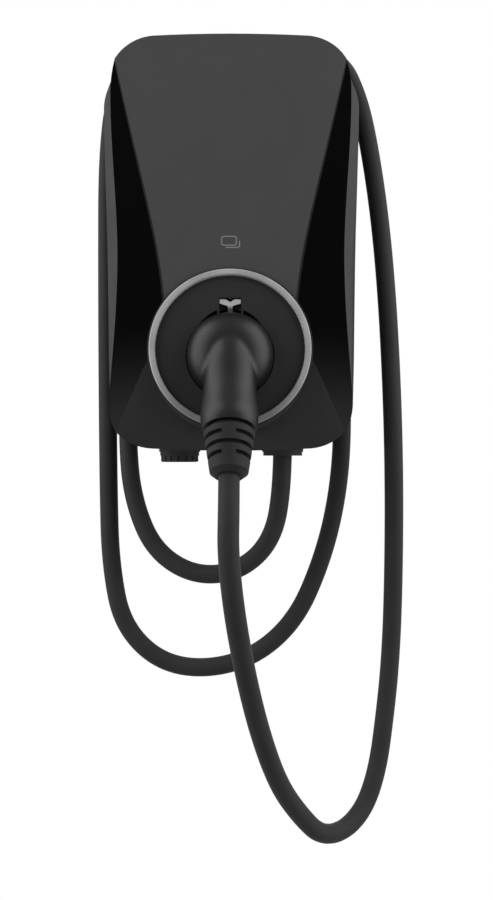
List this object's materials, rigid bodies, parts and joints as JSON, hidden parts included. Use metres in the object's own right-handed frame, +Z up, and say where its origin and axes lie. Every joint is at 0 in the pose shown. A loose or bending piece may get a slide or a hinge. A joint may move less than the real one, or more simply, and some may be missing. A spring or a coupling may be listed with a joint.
{
  "type": "ev wallbox",
  "caption": "Wall charger for electric cars: leaning front panel, light ring, holstered connector, cable wound on a rear neck.",
  "frame": {"origin": "centre of the wall bracket's four fixings, on the wall plane", "axes": "+X to the viewer's right, +Y into the wall, +Z up"},
  "size_m": [0.2273, 0.186, 0.5897],
  "materials": {
    "housing_grey": "fine moulded grain, dark grey",
    "panel_grey": "smooth satin, dark grey",
    "bezel_black": "satin black",
    "ring_diffuser": "pale translucent grey",
    "bright_metal": "polished",
    "steel": "zinc plated",
    "board": "green solder mask",
    "case_black": "plain moulded black",
    "terminal_grey": "plain moulded grey",
    "gland_black": "matt nylon",
    "seal_rubber": "matt rubber",
    "cable_black": "satin black jacket",
    "connector_black": "satin black",
    "boot_rubber": "satin black rubber",
    "contact_silver": "silver plated"
  },
  "bodies": {
    "wallbox": {"wall_bracket": "steel", "lock_screw": "steel", "rear_housing": "housing_grey", "housing_seal": "seal_rubber", "cover_screws": "steel", "front_bezel": "bezel_black", "front_panel": "panel_grey", "light_ring": "ring_diffuser", "led_board": "board", "led_board_screws": "steel", "holster": "bezel_black", "latch_spring": "steel", "card_reader_board": "board", "card_reader_screws": "steel", "main_board": "board", "main_board_screws": "steel", "power_relays": "case_black", "supply_module": "case_black", "leakage_sensor": "case_black", "terminal_block": "terminal_grey", "terminal_screws": "steel", "inlet_gland_body": "gland_black", "inlet_gland_nut": "gland_black", "inlet_gland_cap": "gland_black", "inlet_gland_seal": "seal_rubber", "outlet_gland_body": "gland_black", "outlet_gland_nut": "gland_black", "charging_cable": "cable_black", "connector_shell": "connector_black", "connector_boot": "boot_rubber", "contact_carrier": "connector_black", "contact_sleeves": "contact_silver"},
    "latch": {"holster_latch": "bright_metal"}
  },
  "joints": [
    {"name": "latch_lift", "type": "slide", "parent": "wallbox", "child": "latch", "axis": [0, 0.1392, 0.9903], "range_m": [0, 0.003], "stiffness_N_per_m": 300, "springref_m": -0.002, "deforming": ["latch_spring"]}
  ]
}
